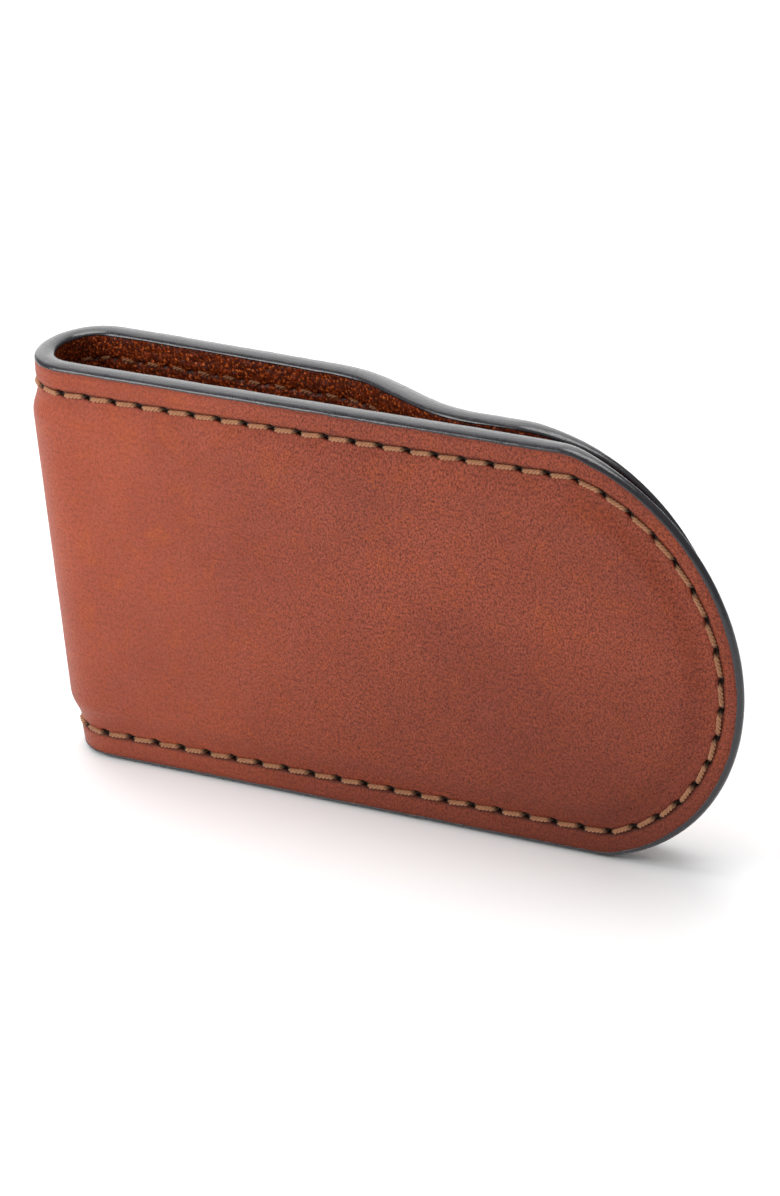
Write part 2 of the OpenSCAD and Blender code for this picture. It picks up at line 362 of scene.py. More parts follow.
def make_columns():
    """Lower half of the outline from the front tip to the back tip, as centres, outward normals and radii.
    Also gives the numbers of the columns at which the strip is split into pieces."""
    def around(tip):
        angles = np.linspace(0, tip.arc_turn, int(tip.seam_r * tip.arc_turn / COLUMN_STEP) + 1)
        centre = tip.origin + tip.side * tip.reach
        arc = [[centre, MID, tip.side * math.cos(a), -math.sin(a), tip.radius] for a in angles]
        turns = np.linspace(tip.shoulder_turn, 0, SHOULDER_COLUMNS + 1)[1:]
        x = tip.origin + tip.side * tip.straight
        return arc + [[x, SHOULDER_R, tip.side * math.sin(b), -math.cos(b), SHOULDER_R] for b in turns]

    rows = around(FRONT)
    stations = [-FRONT.straight, 0.0] + SPLITS + [FOLD_RUN, FOLD_RUN + BACK.straight]
    marks = []
    for a, b in zip(stations[:-1], stations[1:]):
        rows += [[s, SHOULDER_R, 0.0, -1.0, SHOULDER_R] for s in span(a, b)[1:]]
        if b in SPLITS:
            marks.append(len(rows) - 1)
    rows += around(BACK)[::-1][1:]
    return np.array(rows), marks


COLUMNS, MARKS = make_columns()
LAST = len(COLUMNS) - 1


def place_rows(insets, cols):
    """Strip coordinates of the lower rows at the given insets, for the given columns."""
    c = cols[:, None, :]
    w = insets[None, :]
    return c[..., 0] + (c[..., 4] - w) * c[..., 2], c[..., 1] + (c[..., 4] - w) * c[..., 3]


def face_grid(insets, inner_rows):
    """s and z over a whole face: rows from the lower edge, across the middle, to the upper edge."""
    s, z = place_rows(insets, COLUMNS)
    part = np.linspace(0, 1, inner_rows + 2)[1:-1]
    middle_s = np.repeat(s[:, -1:], inner_rows, axis=1)
    middle_z = z[:, -1:] + (HEIGHT - 2 * z[:, -1:]) * part[None, :]
    s = np.concatenate([s, middle_s, s[:, ::-1]], axis=1)
    z = np.concatenate([z, middle_z, HEIGHT - z[:, ::-1]], axis=1)
    return s, z


# ---------------------------------------------------------------- meshes
def make_object(name, points, faces, normals=None, strip=None, extra=None, flat=()):
    """A mesh object from points in millimetres. normals has a vector a point, or zero where Blender chooses.
    flat lists the faces that aren't smooth, which are the cut ends."""
    mesh = bpy.data.meshes.new(name)
    mesh.from_pydata((points * MM).tolist(), [], faces)
    mesh.polygons.foreach_set("use_smooth", [True] * len(mesh.polygons))
    for i in flat:
        mesh.polygons[i].use_smooth = False
    if strip is not None:
        layer = mesh.attributes.new("strip_co", "FLOAT_VECTOR", "POINT")
        layer.data.foreach_set("vector", strip.astype(np.float32).ravel())
    for key, values in (extra or {}).items():
        layer = mesh.attributes.new(key, "FLOAT", "POINT")
        layer.data.foreach_set("value", values.astype(np.float32))
    if normals is not None:
        corner = np.zeros(len(mesh.loops), np.int32)
        mesh.loops.foreach_get("vertex_index", corner)
        chosen = normals[corner]
        counts = np.array([p.loop_total for p in mesh.polygons])
        owner = np.repeat(np.arange(len(counts)), counts)
        is_flat = np.zeros(len(counts), bool)
        is_flat[list(flat)] = True
        chosen[is_flat[owner]] = 0
        mesh.normals_split_custom_set(chosen.tolist())
    obj = bpy.data.objects.new(name, mesh)
    bpy.context.scene.collection.objects.link(obj)
    return obj


def oriented(points, faces):
    """The faces of a closed skin, turned to face out."""
    total = 0.0
    for f in faces:
        a = points[f[0]]
        for i in range(1, len(f) - 1):
            total += float(np.dot(a, np.cross(points[f[i]], points[f[i + 1]])))
    return faces if total > 0 else [f[::-1] for f in faces]


def tube_faces(ids, cap_start, cap_end):
    """Faces of a closed skin whose cross-sections are the rows of ids. Points that coincide share an id."""
    a = ids[:-1]
    b = ids[1:]
    quads = np.stack([a, b, np.roll(b, -1, axis=1), np.roll(a, -1, axis=1)], axis=-1).reshape(-1, 4)
    faces = []
    for q in quads.tolist():
        kept = [v for i, v in enumerate(q) if v != q[i - 1]]
        if len(set(q)) == 4:
            faces.append(q)
        elif len(set(kept)) >= 3:
            faces.append(kept)
    if cap_start:
        faces.append(ids[0][::-1].tolist())
    if cap_end:
        faces.append(ids[-1].tolist())
    return faces


def layer_piece(name, first, last, grid, outward):
    """One stretch of a leather: its seen face with all its relief, and a plain hidden face, closed round."""
    s, z, points, normals, extra = grid
    count = last - first + 1
    rows = s.shape[1]
    edge_s = s[first:last + 1, [rows - 1, 0]]
    edge_z = z[first:last + 1, [rows - 1, 0]]
    hidden = bend(edge_s, edge_z, hidden_depth(edge_s, edge_z))
    all_points = np.concatenate([points[first:last + 1], hidden], axis=1)
    all_s = np.concatenate([s[first:last + 1], edge_s], axis=1)
    all_z = np.concatenate([z[first:last + 1], edge_z], axis=1)
    all_normals = np.concatenate([normals[first:last + 1] * outward, np.zeros((count, 2, 3))], axis=1)
    wide = rows + 2
    ids = np.arange(count * wide).reshape(count, wide)
    half = rows // 2
    # At the far end of a tip the upper rows fold onto the lower ones, so the skin closes there
    for end, is_tip in ((0, first == 0), (count - 1, last == LAST)):
        if is_tip:
            mirrored = ids[end, rows - 1::-1].copy()
            ids[end, half:rows] = mirrored[half:]
            lower_middle = ids[end, RING_ROWS - 1]
            ids[end, RING_ROWS - 1:rows - RING_ROWS + 1] = lower_middle
            ids[end, rows] = ids[end, rows + 1]
    faces = tube_faces(ids, first != 0, last != LAST)
    flat_points = all_points.reshape(-1, 3)
    used = np.unique(np.concatenate([np.array(f) for f in faces]))
    renumber = np.full(len(flat_points), -1)
    renumber[used] = np.arange(len(used))
    faces = [[int(renumber[v]) for v in f] for f in faces]
    faces = oriented(flat_points[used], faces)
    strip = np.stack([all_s, all_z, np.zeros_like(all_s)], axis=-1).reshape(-1, 3)[used]
    caps = [i for i, f in enumerate(faces) if len(f) > 4]
    values = {}
    for key, value in extra.items():
        filled = np.concatenate([value[first:last + 1], np.zeros((count, 2))], axis=1)
        values[key] = filled.ravel()[used]
    return make_object(name, flat_points[used], faces, all_normals.reshape(-1, 3)[used], strip, values, caps)


# Rows of a face near its edge, closer together across the seam
RING_INSETS = np.array([
    0.30, 0.42, 0.55, 0.7, 0.9, 1.15, 1.4, 1.65, 1.9, 2.1, 2.28, 2.42, 2.54, 2.64, 2.73, 2.82, 2.91,
    3.0, 3.09, 3.18, 3.27, 3.36, 3.46, 3.58, 3.72, 3.9, 4.15, 4.45, 4.8, 5.2, 5.6, 6.0, 6.5])
RING_ROWS = len(RING_INSETS)
BODIES = ["front_flap", "fold_front", "fold_middle", "fold_back", "back_flap"]
STRETCHES = ["front", "fold_a", "fold_b", "back"]
STARTS = [0] + MARKS
ENDS = MARKS + [LAST]
# The needle slits' painted shade covers this share of a slit's size
SLIT_SHADE_SIZE = 1.12
INSET_LIMIT = 20.0
OFF_SEAM_LIMIT = 5
OUTER_ROWS = 50
INNER_ROWS = 100


def nodes_of(index, layer):
    """The CAD nodes that a stretch stands for."""
    names = [BODIES[index], BODIES[index + 1]]
    return [n.replace("_flap", "") + "_" + layer for n in names]


def bend_across(obj, index):
    """Bakes a stretch's placement into its mesh, after reading the path at its hinge."""
    at = index * SEGMENT
    x, y, h = [float(np.interp(at, PATH_S, t)) for t in (PATH_X, PATH_Y, PATH_H)]
    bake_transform(obj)


def face_data(depth_of, inner_rows):
    """Strip coordinates, places, normals and the values that the materials read, over a whole face."""
    s, z = face_grid(RING_INSETS, inner_rows)
    points = bend(s, z, depth_of(s, z))
    normals = face_normals(depth_of, s, z)
    across, place, pitch, way = seam_field(s, z)
    extra = {
        "inset": np.minimum(edge_inset(s, z), INSET_LIMIT),
        # hole: where the needle slits get painted shade
        "hole": hole_shape(across, place, pitch, way, SLIT_SHADE_SIZE),
        "off_seam": np.clip(across, -OFF_SEAM_LIMIT, OFF_SEAM_LIMIT),
    }
    return s, z, points, normals, extra


def make_leathers():
    made = []
    for layer, depth_of, outward, rows in (
            ("outer_leather", outer_depth, -1, OUTER_ROWS),
            ("lining", inner_depth, 1, INNER_ROWS)):
        grid = face_data(depth_of, rows)
        for i, stretch in enumerate(STRETCHES):
            obj = layer_piece(f"{layer}_{stretch}", STARTS[i], ENDS[i], grid, outward)
            bend_across(obj, i)
            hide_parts(*nodes_of(i, layer))
            "lining_leather" if layer == "lining" else layer
            made.append((layer, obj))
    return made


# ---------------------------------------------------------------- edge paint
# How far the bead wraps onto the outer leather and onto the lining, and how square its section is
BEAD_WRAP = 0.54
BEAD_WRAP_IN = 0.52
BEAD_POWER = 2.1
BEAD_POINTS = 27
BEAD_CLEAR = 0.02
# Its hidden side: distance from the edge, and how far its two corners are from the strip's middle
BEAD_BACK = 0.7
BEAD_BACK_SHARE = 0.68
LOWER_SEED = 37
UPPER_SEED = 31


def bead_ring(cols, upper):
    """Cross-sections of the paint bead at the given columns: strip coordinates and depth."""
    edge_s = cols[:, 0] + cols[:, 4] * cols[:, 2]
    edge_z = cols[:, 1] + cols[:, 4] * cols[:, 3]
    along = np.concatenate([[0.0], np.cumsum(np.hypot(np.diff(edge_s), np.diff(edge_z)))])
    seed = UPPER_SEED if upper else LOWER_SEED
    wave = 0.05 * noise(along / 2.7, 0 * along, seed) + 0.04 * noise(along / 0.8, 0 * along, seed + 1)
    wave_in = 0.06 * noise(along / 2.1, 0 * along, seed + 2)
    swell = 0.03 * noise(along / 4.3, 0 * along, seed + 3)
    angle = np.linspace(-math.pi / 2, math.pi / 2, BEAD_POINTS)
    side = np.sign(np.sin(angle)) * np.abs(np.sin(angle)) ** (2 / BEAD_POWER)
    out = np.abs(np.cos(angle)) ** (2 / BEAD_POWER)
    wrap = np.where(side[None, :] < 0, (BEAD_WRAP + wave)[:, None], (BEAD_WRAP_IN + wave_in)[:, None])
    inset = wrap * (1 - out[None, :]) - (swell[:, None] - BEAD_CLEAR) * out[None, :] * 0.5 + BEAD_CLEAR / 2
    half = STRIP_T / 2 * rim_scale(edge_s, 0.0)[:, None]
    depth = half + (half - BEAD_CLEAR) * side[None, :]
    inset = np.concatenate([inset, np.full((len(cols), 2), BEAD_BACK)], axis=1)
    depth = np.concatenate([depth, half * (1 + BEAD_BACK_SHARE), half * (1 - BEAD_BACK_SHARE)], axis=1)
    s = cols[:, None, 0] + (cols[:, None, 4] - inset) * cols[:, None, 2]
    z = cols[:, None, 1] + (cols[:, None, 4] - inset) * cols[:, None, 3]
    return s, (HEIGHT - z if upper else z), depth


def grid_normals(points):
    """Unit normals of a grid of points whose second index closes on itself."""
    along = np.gradient(points, axis=0)
    across = np.roll(points, -1, axis=1) - np.roll(points, 1, axis=1)
    n = np.cross(along, across)
    return n / np.maximum(np.linalg.norm(n, axis=-1, keepdims=True), 1e-12)


def make_bead():
    """The paint bead round the whole strip: one loop, cut where the strip is."""
    lower = bead_ring(COLUMNS, False)
    upper = bead_ring(COLUMNS, True)
    # One closed loop: lower edge from the front tip to the back tip, then the upper edge back again
    loop = [np.concatenate([a, b[::-1][1:-1]], axis=0) for a, b in zip(lower, upper)]
    count = len(loop[0])
    s, z, depth = loop
    points = bend(s, z, depth)
    wrapped = np.concatenate([points[-2:], points, points[:2]], axis=0)
    normals = grid_normals(wrapped)[2:-2]
    up = [count - m for m in MARKS]
    # The cross-sections in each piece: one chain round a tip, or one on each edge of the fold
    chains = [
        [list(range(up[0], count)) + list(range(0, MARKS[0] + 1))],
        [list(range(MARKS[0], MARKS[1] + 1)), list(range(up[1], up[0] + 1))],
        [list(range(MARKS[1], MARKS[2] + 1)), list(range(up[2], up[1] + 1))],
        [list(range(MARKS[2], up[2] + 1))],
    ]
    made = []
    for i, stretch in enumerate(STRETCHES):
        all_points, all_normals, all_strip, faces = [], [], [], []
        base = 0
        for chain in chains[i]:
            p = points[chain]
            ids = np.arange(p.shape[0] * p.shape[1]).reshape(p.shape[:2])
            flat = p.reshape(-1, 3)
            part = oriented(flat, tube_faces(ids, True, True))
            n = normals[chain].reshape(-1, 3)
            middle = p.mean(axis=1, keepdims=True)
            outward = np.sign(np.sum(normals[chain] * (p - middle), axis=-1)).sum()
            all_normals.append(n * (1 if outward > 0 else -1))
            all_points.append(flat)
            all_strip.append(np.stack([s[chain], z[chain], depth[chain]], axis=-1).reshape(-1, 3))
            faces += [[v + base for v in f] for f in part]
            base += len(flat)
        caps = [k for k, f in enumerate(faces) if len(f) > 4]
        obj = make_object(f"edge_paint_{stretch}", np.concatenate(all_points), faces,
                          np.concatenate(all_normals), np.concatenate(all_strip), None, caps)
        bend_across(obj, i)
        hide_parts(*nodes_of(i, "edge_paint"))
        made.append(("edge_paint", obj))
    return made


# ---------------------------------------------------------------- thread
PLIES = 3
PLY_SIDES = 8
PLY_STEPS = 26
PLY_TURNS = 2.4
MIDDLE_STEPS = slice(10, 16)
WOBBLE = 0.02


def stitch_lines(slant):
    """Centre line of each stitch: s, z, a value from 0 to 1 along it, and the number of its stretch."""
    t = np.linspace(0, 1, PLY_STEPS)
    across = slant * (t - 0.5) * 2
    lines = []
    for tip in (FRONT, BACK):
        for k in range(tip.stitches):
            u, z, out_u, out_z = tip.place((k + t) * tip.pitch)
            # The slant leans the same way all round the loop
            shift = across * tip.side
            s = tip.origin + tip.side * (u + shift * out_u)
            lines.append((s, z + shift * out_z, t, 0 if tip is FRONT else SEGMENTS))
    for k in range(SEGMENTS * STITCHES_PER_SEGMENT):
        s = (k + t) * FOLD_PITCH
        stretch = int((k + 0.5) * FOLD_PITCH / SEGMENT + 0.5)
        lines.append((s, SEAM + across, t, stretch))
        lines.append((s, HEIGHT - SEAM + across, t, stretch))
    return lines


class Thread:
    """A thread's face, the way out of it, where along a stitch it surfaces, how far above the face it lies
    and dives below, the radius and offset of its plies, and the slant of its stitches."""

    def __init__(self, depth_of, outward, rise, lie, dive, ply_r, ply_off, slant):
        self.depth_of, self.outward, self.rise, self.lie, self.dive = depth_of, outward, rise, lie, dive
        self.ply_r, self.ply_off, self.slant = ply_r, ply_off, slant

    def depth(self, number, s, z, t):
        """Depth along one stitch, between the channel's floor and its two needle slits."""
        low, high = self.rise
        lift = smooth(low, high, t) * smooth(1 - low, 1 - high, t)
        wobble = WOBBLE * float(hashed(np.int64(number), np.int64(5), 77))
        nominal = float(np.mean(self.depth_of(s[MIDDLE_STEPS], z[MIDDLE_STEPS])))
        return nominal + self.outward * (self.dive * (1 - lift) + (self.lie + wobble) * lift)

    def plies(self, number, s, z, t):
        """Points, material coordinates and nearness to an end of the twisted plies of one stitch."""
        depth = self.depth(number, s, z, t)
        centre = bend(s, z, depth)
        tangent = np.gradient(centre, axis=0)
        tangent /= np.linalg.norm(tangent, axis=1, keepdims=True)
        up = bend(s, z, depth - self.outward * 0.1) - centre
        side = np.cross(tangent, up)
        side /= np.linalg.norm(side, axis=1, keepdims=True)
        up = np.cross(side, tangent)
        phase = float(hashed(np.int64(number), np.int64(9), 78)) * math.pi
        ring = np.linspace(0, 2 * math.pi, PLY_SIDES, endpoint=False)
        offset = np.cos(ring)[None, :, None] * side[:, None, :] + np.sin(ring)[None, :, None] * up[:, None, :]
        coords = np.stack([s[:, None] + 0 * ring[None, :], z[:, None] + 0 * ring[None, :],
                           ring[None, :] + 0 * s[:, None]], axis=-1)
        nearness = np.repeat(np.abs(2 * t - 1)[:, None], PLY_SIDES, axis=1)
        for ply in range(PLIES):
            angle = phase + 2 * math.pi * (PLY_TURNS * t + ply / PLIES)
            axis = centre + self.ply_off * (np.cos(angle)[:, None] * side + np.sin(angle)[:, None] * up)
            yield axis[:, None, :] + self.ply_r * offset, coords, nearness


def make_thread(layer, thread):
    """The three-ply stitches of a thread. Each rises from one needle slit and dives into the next."""
    groups = {i: [] for i in range(len(STRETCHES))}
    for number, (s, z, t, stretch) in enumerate(stitch_lines(thread.slant)):
        groups[stretch] += list(thread.plies(number, s, z, t))
    made = []
    for i, stretch in enumerate(STRETCHES):
        ids = np.arange(PLY_STEPS * PLY_SIDES).reshape(PLY_STEPS, PLY_SIDES)
        faces, points, coords, ends = [], [], [], []
        for n, (p, c, nearness) in enumerate(groups[i]):
            part = oriented(p.reshape(-1, 3), tube_faces(ids, True, True))
            faces += [[v + n * ids.size for v in f] for f in part]
            points.append(p.reshape(-1, 3))
            coords.append(c.reshape(-1, 3))
            ends.append(nearness.ravel())
        obj = make_object(f"{layer}_{stretch}", np.concatenate(points), faces, None,
                          np.concatenate(coords), {"end": np.concatenate(ends)})
        bend_across(obj, i)
        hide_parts(*nodes_of(i, layer))
        made.append((layer, obj))
    return made


NEEDLE_THREAD = Thread(outer_depth, 1, rise=(0.02, 0.24), lie=-0.10, dive=0.56,
                       ply_r=0.145, ply_off=0.125, slant=0.13)
BOBBIN_THREAD = Thread(inner_depth, -1, rise=(0.20, 0.38), lie=0.0, dive=0.50,
                       ply_r=0.125, ply_off=0.105, slant=0.12)

# ---------------------------------------------------------------- materials
LEATHER_DARK = (0.340, 0.063, 0.028)
LEATHER_LIGHT = (0.440, 0.087, 0.036)
LEATHER_ROSE = (0.400, 0.099, 0.060)
LEATHER_ORANGE = (0.480, 0.100, 0.023)
LEATHER_DEEP = (0.110, 0.018, 0.008)


class Graph:
    """A short way to write a material's nodes."""

    def __init__(self, name):
        self.material = bpy.data.materials.new(name)
        self.material.use_nodes = True
        self.tree = self.material.node_tree
        self.bsdf = self.tree.nodes["Principled BSDF"]

    def node(self, kind, **settings):
        made = self.tree.nodes.new(kind)
        for key, value in settings.items():
            setattr(made, key, value)
        return made

    def put(self, value, socket):
        if isinstance(value, bpy.types.NodeSocket):
            self.tree.links.new(value, socket)
        elif isinstance(value, (tuple, list)) and len(value) == 3 and socket.type == "RGBA":
            socket.default_value = (*value, 1.0)
        else:
            socket.default_value = value

    def attribute(self, name, output="Vector"):
        made = self.node("ShaderNodeAttribute", attribute_type="GEOMETRY", attribute_name=name)
        return made.outputs[output]

    def millimetres(self):
        """The object's own coordinates, for a CAD node."""
        return self.scaled(self.node("ShaderNodeTexCoord").outputs["Object"], (1 / MM, 1 / MM, 1 / MM))

    def scaled(self, vector, scale, offset=(0, 0, 0)):
        made = self.node("ShaderNodeMapping")
        self.put(vector, made.inputs["Vector"])
        made.inputs["Scale"].default_value = scale
        made.inputs["Location"].default_value = offset
        return made.outputs["Vector"]

    def noise(self, vector, scale, detail=3.0, roughness=0.55, distortion=0.0):
        made = self.node("ShaderNodeTexNoise")
        self.put(vector, made.inputs["Vector"])
        made.inputs["Scale"].default_value = scale
        made.inputs["Detail"].default_value = detail
        made.inputs["Roughness"].default_value = roughness
        made.inputs["Distortion"].default_value = distortion
        return made.outputs["Fac"]

    def cells(self, vector, scale, feature="F1"):
        made = self.node("ShaderNodeTexVoronoi", feature=feature)
        self.put(vector, made.inputs["Vector"])
        made.inputs["Scale"].default_value = scale
        return made.outputs["Distance"]

    def math(self, operation, a, b):
        made = self.node("ShaderNodeMath", operation=operation)
        self.put(a, made.inputs[0])
        self.put(b, made.inputs[1])
        return made.outputs[0]

    def remap(self, value, low, high, to_low=0.0, to_high=1.0):
        made = self.node("ShaderNodeMapRange")
        self.put(value, made.inputs["Value"])
        for key, number in (("From Min", low), ("From Max", high), ("To Min", to_low), ("To Max", to_high)):
            made.inputs[key].default_value = number
        return made.outputs["Result"]

    def times(self, a, b):
        return self.math("MULTIPLY", a, b)

    def mix(self, factor, a, b):
        """Colour a, and colour b where factor is 1. A mix node keeps its colour sockets after the others."""
        made = self.node("ShaderNodeMix", data_type="RGBA")
        self.put(factor, made.inputs["Factor"])
        self.put(a, made.inputs[6])
        self.put(b, made.inputs[7])
        return made.outputs[2]

    def bump(self, height, strength, distance):
        made = self.node("ShaderNodeBump")
        self.put(height, made.inputs["Height"])
        made.inputs["Strength"].default_value = strength
        made.inputs["Distance"].default_value = distance
        return made.outputs["Normal"]

    def finish(self, colour, roughness, normal, **constants):
        self.put(colour, self.bsdf.inputs["Base Color"])
        self.put(roughness, self.bsdf.inputs["Roughness"])
        if normal is not None:
            self.put(normal, self.bsdf.inputs["Normal"])
        for key, value in constants.items():
            self.bsdf.inputs[key].default_value = value
        return self.material


def outer_leather_material():
    """Full-grain leather: cloudy brown with specks and pores, darker at the edge, with painted shade low down
    and in the slits.
    """
    g = Graph("outer_leather")
    co = g.attribute("strip_co")
    inset = g.attribute("inset", "Fac")
    hole = g.attribute("hole", "Fac")
    off_seam = g.attribute("off_seam", "Fac")
    place = g.node("ShaderNodeSeparateXYZ")
    g.put(co, place.inputs[0])
    s, z = place.outputs["X"], place.outputs["Y"]
    # Specks and pores are stronger away from the fold
    rough_side = g.remap(s, -8.0, -34.0, 0.35, 1.0)
    clouds = g.noise(co, 0.055, 3.0, 0.6, 0.4)
    mottle = g.noise(co, 0.33, 5.0, 0.62, 0.6)
    fine = g.noise(co, 2.6, 4.0, 0.65)
    speck = g.noise(g.scaled(co, (1.0, 0.8, 1.0), (9, 3, 0)), 4.6, 3.0, 0.6)
    tracks = g.cells(co, 3.0, "DISTANCE_TO_EDGE")
    pore_cells = g.cells(co, 3.1)
    pore_here = g.noise(co, 1.1, 2.0)
    pores = g.times(g.remap(pore_cells, 0.34, 0.10), g.remap(pore_here, 0.38, 0.60))
    pores = g.times(pores, rough_side)
    colour = g.mix(g.remap(clouds, 0.36, 0.64), LEATHER_DARK, LEATHER_LIGHT)
    colour = g.mix(g.remap(mottle, 0.42, 0.72, 0.0, 0.5), colour, LEATHER_ROSE)
    colour = g.mix(g.remap(mottle, 0.46, 0.30, 0.0, 0.5), colour, LEATHER_ORANGE)
    # Painted shade: it deepens towards the lower edge, most of all at the front tip
    painted_low_shade = g.times(g.remap(z, 24.0, 0.0), g.remap(s, 0.0, -62.0, 0.12, 0.62))
    colour = g.mix(painted_low_shade, colour, LEATHER_DEEP)
    colour = g.mix(g.remap(fine, 0.44, 0.66, 0.0, 0.42), colour, LEATHER_DEEP)
    colour = g.mix(g.times(g.remap(speck, 0.46, 0.60, 0.0, 0.76), rough_side), colour, LEATHER_DEEP)
    colour = g.mix(g.times(g.remap(tracks, 0.10, 0.0, 0.0, 0.40), rough_side), colour, LEATHER_DEEP)
    colour = g.mix(g.times(pores, 0.6), colour, (0.08, 0.016, 0.010))
    colour = g.mix(g.remap(inset, 1.1, 0.45, 0.0, 0.45), colour, LEATHER_DEEP)
    # Shadow line between the thread and the rim
    rim_line = g.times(g.remap(off_seam, -0.62, -0.30), g.remap(off_seam, -0.05, -0.30))
    colour = g.mix(g.times(rim_line, 0.75), colour, (0.04, 0.010, 0.005))
    # Painted shade in the needle slits
    colour = g.mix(g.remap(hole, 0.12, 0.55), colour, (0.010, 0.004, 0.002))
    rough = g.remap(mottle, 0.3, 0.7, 0.42, 0.52)
    height = g.math("SUBTRACT", g.times(speck, -1.2), pores)
    normal = g.bump(height, 0.8, 0.00012)
    return g.finish(colour, rough, normal, **{"Specular IOR Level": 0.20})


def lining_material():
    """Pebbled lining leather: saturated orange brown, dark between its grains."""
    g = Graph("lining_leather")
    co = g.attribute("strip_co")
    hole = g.attribute("hole", "Fac")
    pebbles = g.cells(co, 1.5, "SMOOTH_F1")
    creases = g.cells(co, 1.5, "DISTANCE_TO_EDGE")
    clouds = g.noise(co, 0.45, 4.0, 0.65)
    fine = g.noise(co, 2.6, 4.0, 0.7)
    colour = g.mix(g.remap(clouds, 0.35, 0.65), (0.17, 0.018, 0.0015), (0.34, 0.044, 0.0040))
    colour = g.mix(g.remap(creases, 0.2, 0.0, 0.0, 0.85), colour, (0.03, 0.004, 0.001))
    colour = g.mix(g.remap(fine, 0.46, 0.60, 0.0, 0.9), colour, (0.035, 0.005, 0.001))
    colour = g.mix(g.remap(fine, 0.44, 0.34, 0.0, 1.0), colour, (0.85, 0.21, 0.045))
    # Painted shade in the needle slits
    colour = g.mix(g.remap(hole, 0.3, 0.9, 0.0, 0.7), colour, (0.012, 0.004, 0.002))
    height = g.math("ADD", g.times(pebbles, -0.8), g.times(fine, 0.5))
    normal = g.bump(height, 0.8, 0.00022)
    return g.finish(colour, g.remap(fine, 0.3, 0.7, 0.36, 0.5), normal, **{"Specular IOR Level": 0.24})


def edge_paint_material():
    """Dark glossy edge paint with a faint violet cast and slight unevenness."""
    g = Graph("edge_paint")
    co = g.attribute("strip_co")
    streaks = g.noise(g.scaled(co, (0.25, 1.0, 3.0)), 1.3, 4.0)
    specks = g.noise(co, 1.8, 3.0)
    colour = g.mix(g.remap(streaks, 0.35, 0.65), (0.006, 0.005, 0.008), (0.012, 0.010, 0.016))
    normal = g.bump(g.math("ADD", streaks, g.times(specks, 0.5)), 0.5, 0.00010)
    rough = g.remap(specks, 0.3, 0.7, 0.24, 0.36)
    gloss = {"Specular IOR Level": 0.5, "Coat Weight": 0.35, "Coat Roughness": 0.16}
    return g.finish(colour, rough, normal, **gloss)


def thread_material(name, light, dark):
    """Twisted bonded thread with fine filaments, with painted shade where it dives into the leather."""
    g = Graph(name)
    co = g.attribute("strip_co")
    end = g.attribute("end", "Fac")
    filaments = g.noise(g.scaled(co, (3.0, 3.0, 2.2)), 3.0, 3.0)
    patches = g.noise(co, 0.9, 2.0)
    colour = g.mix(g.remap(filaments, 0.35, 0.7), light, dark)
    colour = g.mix(g.remap(patches, 0.4, 0.7, 0.0, 0.35), colour, dark)
    # Painted shade towards each end, where the thread dives into a slit
    colour = g.mix(g.remap(end, 0.50, 0.72), colour, (0.03, 0.014, 0.007))
    normal = g.bump(filaments, 0.5, 0.00005)
    fuzz = {"Specular IOR Level": 0.25, "Sheen Weight": 0.1, "Sheen Roughness": 0.4}
    return g.finish(colour, 0.62, normal, **fuzz)


def core_material():
    """Bonded leather board: pressed brown fibres."""
    g = Graph("core_board")
    co = g.millimetres()
    fibres = g.noise(g.scaled(co, (1.0, 1.0, 4.0)), 1.6, 5.0, 0.7, 1.2)
    flecks = g.cells(co, 1.8)
    colour = g.mix(g.remap(fibres, 0.35, 0.65), (0.30, 0.19, 0.10), (0.46, 0.33, 0.20))
    colour = g.mix(g.remap(flecks, 0.15, 0.02), colour, (0.18, 0.10, 0.05))
    return g.finish(colour, 0.85, g.bump(fibres, 0.5, 0.0001), **{"Specular IOR Level": 0.25})


def magnet_material():
    """Nickel plate with fine scratches."""
    g = Graph("magnet")
    co = g.millimetres()
    scratches = g.noise(g.scaled(co, (0.4, 0.4, 9.0)), 2.0, 4.0)
    colour = g.mix(g.remap(scratches, 0.4, 0.6), (0.62, 0.61, 0.59), (0.72, 0.71, 0.69))
    rough = g.remap(scratches, 0.3, 0.7, 0.18, 0.34)
    return g.finish(colour, rough, g.bump(scratches, 0.2, 0.00002), **{"Metallic": 1.0})


def floor_material():
    """Plain white paper, very slightly uneven."""
    g = Graph("floor")
    paper = g.noise(g.node("ShaderNodeTexCoord").outputs["Object"], 40.0, 2.0)
    colour = g.mix(paper, (0.86, 0.86, 0.86), (0.88, 0.88, 0.88))
    return g.finish(colour, 0.9, None, **{"Specular IOR Level": 0.1})


def use(obj, material):
    obj.data.materials.clear()
    obj.data.materials.append(material)


# ---------------------------------------------------------------- build
pieces = make_leathers()
pieces += make_bead()
pieces += make_thread("needle_thread", NEEDLE_THREAD)
pieces += make_thread("bobbin_thread", BOBBIN_THREAD)

MATERIALS = {
    "outer_leather": outer_leather_material(),
    "lining": lining_material(),
    "edge_paint": edge_paint_material(),
    "needle_thread": thread_material("needle_thread", (0.56, 0.28, 0.145), (0.25, 0.095, 0.04)),
    "bobbin_thread": thread_material("bobbin_thread", (0.36, 0.15, 0.065), (0.14, 0.048, 0.018)),
    "core_board": core_material(),
    "magnet": magnet_material(),
}
for layer, obj in pieces:
    use(obj, MATERIALS[layer])
for name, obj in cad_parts.items():
    for layer in ("core_board", "magnet"):
        if name.endswith(layer):
            use(obj, MATERIALS[layer])

# ---------------------------------------------------------------- stage
FLOOR_SIZE = 12
WORLD = 0.40

bpy.ops.mesh.primitive_plane_add(size=FLOOR_SIZE)
floor = bpy.context.object
floor.name = "floor"
use(floor, floor_material())

world = bpy.data.worlds.new("studio")
bpy.context.scene.world = world
world.use_nodes = True
world.node_tree.nodes["Background"].inputs["Color"].default_value = (1, 1, 1, 1)
world.node_tree.nodes["Background"].inputs["Strength"].default_value = WORLD


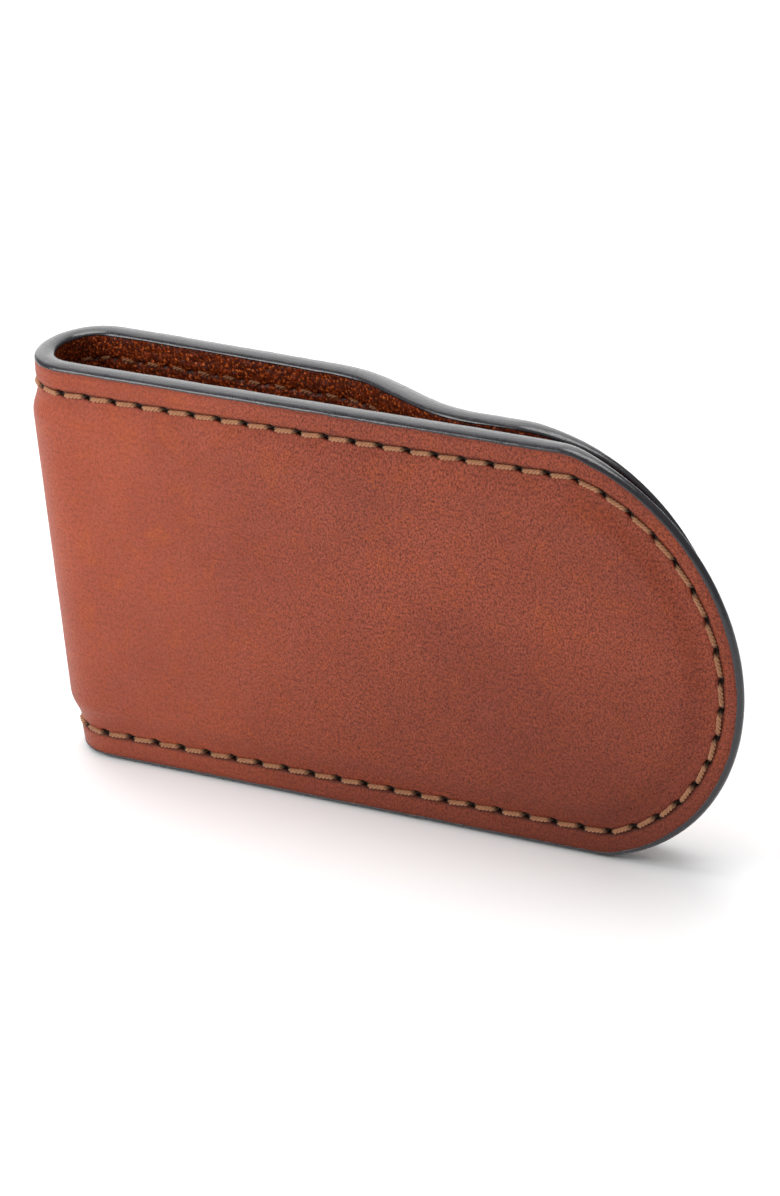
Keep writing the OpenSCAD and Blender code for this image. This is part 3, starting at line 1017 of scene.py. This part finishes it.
def add_light(name, kind, place, target, energy):
    """A light at one point in the frame, in millimetres, aimed at another."""
    light = bpy.data.lights.new(name, kind)
    light.energy = energy
    obj = bpy.data.objects.new(name, light)
    bpy.context.scene.collection.objects.link(obj)
    obj.location = Vector(place) * MM
    obj.rotation_mode = "QUATERNION"
    obj.rotation_quaternion = (Vector(target) * MM - obj.location).to_track_quat("-Z", "Y")
    return light


overhead = add_light("overhead", "SUN", (-60, 80, 1000), (0, 0, 0), 2.2)
overhead.angle = math.radians(40)
# Shines on the upper side of the edge paint
back_softbox = add_light("back_softbox", "AREA", (-190, 270, 225), (0, 0, 20), 0.95)
back_softbox.size = 430 * MM
# Makes the fold end of the front brighter than the tip
left_softbox = add_light("left_softbox", "AREA", (-105, -105, 105), (-30, 0, 30), 0.13)
left_softbox.size = 80 * MM

# ---------------------------------------------------------------- camera
# Angles in degrees, distances in mm. The camera looks at the centre of the front tip, moved by the two aims
CAMERA_AZIMUTH = 35.19
CAMERA_ELEVATION = 24.79
CAMERA_ROLL = -6.294
CAMERA_DISTANCE = 618.7
CAMERA_LENS = 189.63
AIM_RIGHT = -14.576
AIM_UP = 4.954
SENSOR = 36.0
CLIP_START = 0.05
CLIP_END = 50


def add_camera():
    a, e, r = (math.radians(v) for v in (CAMERA_AZIMUTH, CAMERA_ELEVATION, CAMERA_ROLL))
    back = Vector((math.sin(a) * math.cos(e), -math.cos(a) * math.cos(e), math.sin(e)))
    right = Vector((math.cos(a), math.sin(a), 0))
    up = back.cross(right)
    turned_right = right * math.cos(r) + up * math.sin(r)
    turned_up = up * math.cos(r) - right * math.sin(r)
    centre = Vector((FRONT_TIP_X, -FOLD_R, MID))
    data = bpy.data.cameras.new("camera")
    data.lens = CAMERA_LENS
    data.sensor_width = SENSOR
    data.clip_start = CLIP_START
    data.clip_end = CLIP_END
    camera = bpy.data.objects.new("camera", data)
    bpy.context.scene.collection.objects.link(camera)
    place = centre + turned_right * AIM_RIGHT + turned_up * AIM_UP + back * CAMERA_DISTANCE
    camera.matrix_world = Matrix.Translation(place * MM) @ Matrix(
        (turned_right, turned_up, back)).transposed().to_4x4()
    bpy.context.scene.camera = camera


add_camera()
bpy.context.scene.view_settings.view_transform = "Standard"
